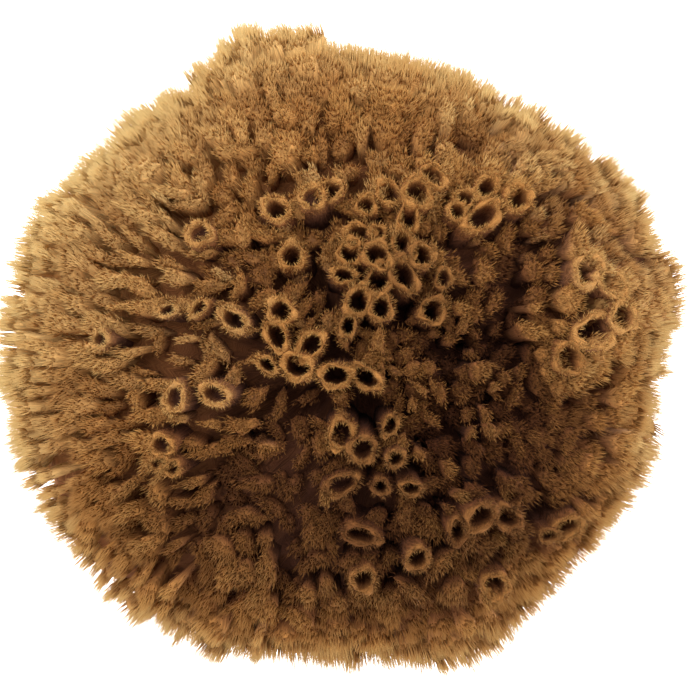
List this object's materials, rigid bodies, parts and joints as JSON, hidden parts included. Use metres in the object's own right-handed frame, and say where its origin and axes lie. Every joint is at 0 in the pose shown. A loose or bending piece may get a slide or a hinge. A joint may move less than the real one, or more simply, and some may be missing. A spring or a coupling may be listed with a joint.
{
  "type": "sea sponge",
  "caption": "Dry natural bath sponge: a soft bun of fused fibrous tufts, open outlet tubes clustered on its crown, cut off flat underneath.",
  "frame": {"origin": "middle of the flat cut that the sponge rests on", "axes": "+Z up, away from the cut; +X to the right and +Y up as seen from above in the picture"},
  "size_m": [0.172, 0.159, 0.0947],
  "materials": {
    "sponge": "dry matt fibre, golden tan at the tips and dark brown in the hollows"
  },
  "bodies": {
    "root": {"sponge": "sponge"}
  },
  "joints": []
}
